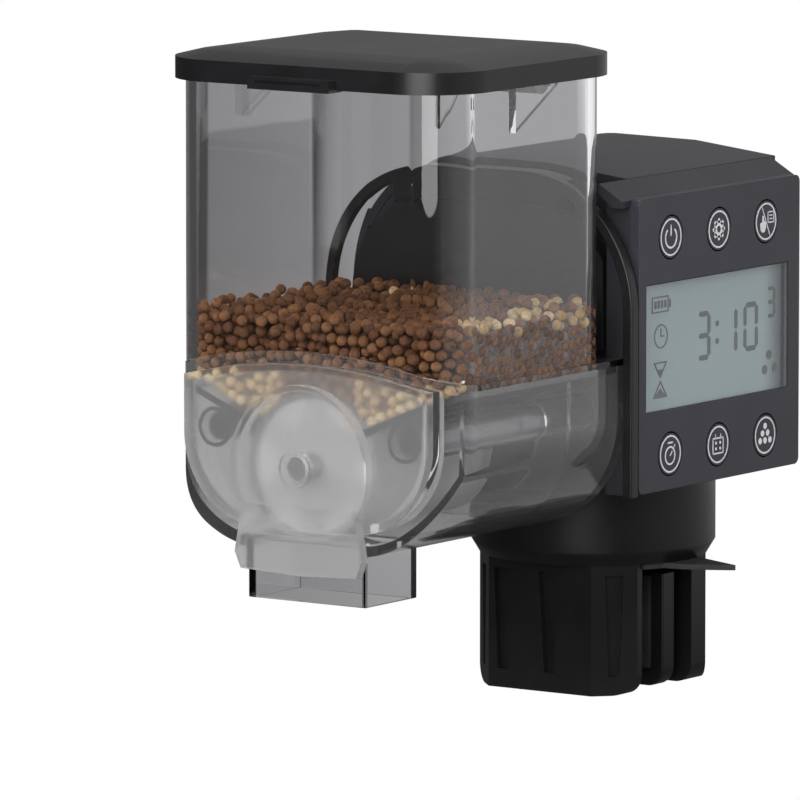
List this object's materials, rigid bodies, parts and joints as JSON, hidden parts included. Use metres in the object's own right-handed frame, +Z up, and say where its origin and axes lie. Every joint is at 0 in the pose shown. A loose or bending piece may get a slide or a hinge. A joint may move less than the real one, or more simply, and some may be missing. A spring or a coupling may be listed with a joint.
{
  "type": "automatic pet feeder",
  "caption": "Clamp-on automatic pet feeder: clear lidded hopper with a dosing drum and outlet chute in front of a swivelling drive housing with display and keys.",
  "frame": {"origin": "centre of the swivel axis on the seat that rests on the pane's top edge", "axes": "+Z up along the swivel axis, +X towards the display panel, -Y towards the hopper and its outlet"},
  "size_m": [0.0776, 0.1378, 0.1411],
  "materials": {
    "black_satin": "satin moulded black",
    "charcoal": "fine matte moulded charcoal",
    "panel_print": "satin printed dark grey",
    "key_print": "satin dark grey with a pale printed ring",
    "lens_clear": "clear lens",
    "display_grey": "grey-green liquid crystal display",
    "clear_plastic": "clear moulded plastic",
    "frosted_plastic": "frosted moulded plastic",
    "rotor_plastic": "white moulded plastic",
    "soft_rubber": "soft dark rubber",
    "gasket_grey": "grey silicone",
    "key_silicone": "pale silicone",
    "board_green": "solder-masked board",
    "steel": "plated steel",
    "brass": "turned brass",
    "motor_steel": "zinc-plated can",
    "gear_plastic": "natural acetal",
    "cell_wrap": "printed cell jacket",
    "food_brown": "dry pellets"
  },
  "bodies": {
    "clamp": {"clamp_base": "black_satin", "seat_pad": "soft_rubber", "front_jaw_pad": "soft_rubber", "clamp_nut": "brass"},
    "clamp_jaw": {"clamp_plate": "black_satin", "clamp_plate_pad": "soft_rubber"},
    "thumb_screw": {"clamp_screw": "black_satin"},
    "housing": {"main_shell": "charcoal", "panel_frame": "charcoal", "panel_face": "panel_print", "display_lens": "lens_clear", "display_module": "display_grey", "control_board": "board_green", "key_mat": "key_silicone", "hopper_collar": "black_satin", "front_plate": "black_satin", "front_casing": "charcoal", "drive_nose": "black_satin", "support_pins": "black_satin", "motor": "motor_steel", "motor_bracket": "gear_plastic", "shaft_bush": "brass", "battery_tray": "black_satin", "battery_cells": "cell_wrap", "battery_contacts": "steel", "battery_springs": "steel", "case_screws": "steel", "swivel_washer": "steel", "swivel_screw": "steel"},
    "door": {"battery_door": "charcoal"},
    "drive": {"drive_shaft": "steel", "drive_gear": "gear_plastic"},
    "pinion": {"motor_pinion": "brass"},
    "hopper": {"hopper_box": "clear_plastic", "hopper_base": "clear_plastic", "front_cover": "frosted_plastic", "outlet_chute": "clear_plastic", "hopper_funnel": "clear_plastic", "rotor_cup": "frosted_plastic", "rear_bulkhead": "clear_plastic", "guide_tubes": "clear_plastic", "hinge_pin": "steel", "food_pellets": "food_brown"},
    "rotor": {"dosing_rotor": "rotor_plastic", "rotor_spindle": "steel"},
    "lid": {"hopper_lid": "black_satin", "lid_gasket": "gasket_grey"},
    "key_power_cap": {"key_power": "key_print"},
    "key_settings_cap": {"key_settings": "key_print"},
    "key_manual_cap": {"key_manual": "key_print"},
    "key_timer_cap": {"key_timer": "key_print"},
    "key_schedule_cap": {"key_schedule": "key_print"},
    "key_portion_cap": {"key_portion": "key_print"}
  },
  "joints": [
    {"name": "clamp_close", "type": "slide", "parent": "clamp", "child": "clamp_jaw", "axis": [0, -1, 0], "range_m": [-0.0037, 0.004]},
    {"name": "screw_turn", "type": "hinge", "parent": "clamp_jaw", "child": "thumb_screw", "pos_m": [0, 0.02, -0.01425], "axis": [0, -1, 0], "range_deg": [-670, 725]},
    {"name": "swivel_turn", "type": "hinge", "parent": "clamp", "child": "housing", "pos_m": [0, 0, 0.0197], "axis": [0, 0, 1], "continuous": true},
    {"name": "door_pull", "type": "slide", "parent": "housing", "child": "door", "axis": [-1, 0, 0], "range_m": [0, 0.012]},
    {"name": "hopper_slide", "type": "slide", "parent": "housing", "child": "hopper", "axis": [0, -1, 0], "range_m": [0, 0.066]},
    {"name": "rotor_spin", "type": "hinge", "parent": "hopper", "child": "rotor", "pos_m": [0, -0.08, 0.0305], "axis": [0, -1, 0], "continuous": true},
    {"name": "drive_spin", "type": "hinge", "parent": "housing", "child": "drive", "pos_m": [0, -0.04, 0.0305], "axis": [0, -1, 0], "continuous": true},
    {"name": "pinion_spin", "type": "hinge", "parent": "housing", "child": "pinion", "pos_m": [0, -0.028, 0.0425], "axis": [0, -1, 0], "continuous": true},
    {"name": "lid_hinge", "type": "hinge", "parent": "hopper", "child": "lid", "pos_m": [0, -0.033, 0.1045], "axis": [-1, 0, 0], "range_deg": [0, 105]},
    {"name": "key_power_press", "type": "slide", "parent": "housing", "child": "key_power_cap", "axis": [-1, 0, 0], "range_m": [0, 0.0005], "stiffness_N_per_m": 400, "springref_m": -0.0004},
    {"name": "key_settings_press", "type": "slide", "parent": "housing", "child": "key_settings_cap", "axis": [-1, 0, 0], "range_m": [0, 0.0005], "stiffness_N_per_m": 400, "springref_m": -0.0004},
    {"name": "key_manual_press", "type": "slide", "parent": "housing", "child": "key_manual_cap", "axis": [-1, 0, 0], "range_m": [0, 0.0005], "stiffness_N_per_m": 400, "springref_m": -0.0004},
    {"name": "key_timer_press", "type": "slide", "parent": "housing", "child": "key_timer_cap", "axis": [-1, 0, 0], "range_m": [0, 0.0005], "stiffness_N_per_m": 400, "springref_m": -0.0004},
    {"name": "key_schedule_press", "type": "slide", "parent": "housing", "child": "key_schedule_cap", "axis": [-1, 0, 0], "range_m": [0, 0.0005], "stiffness_N_per_m": 400, "springref_m": -0.0004},
    {"name": "key_portion_press", "type": "slide", "parent": "housing", "child": "key_portion_cap", "axis": [-1, 0, 0], "range_m": [0, 0.0005], "stiffness_N_per_m": 400, "springref_m": -0.0004}
  ],
  "couplings": [
    {"joint": "screw_turn", "follows": "clamp_close", "rad_per_m": 3141.6},
    {"joint": "drive_spin", "follows": "rotor_spin", "ratio": 1},
    {"joint": "pinion_spin", "follows": "rotor_spin", "ratio": -1.5}
  ]
}
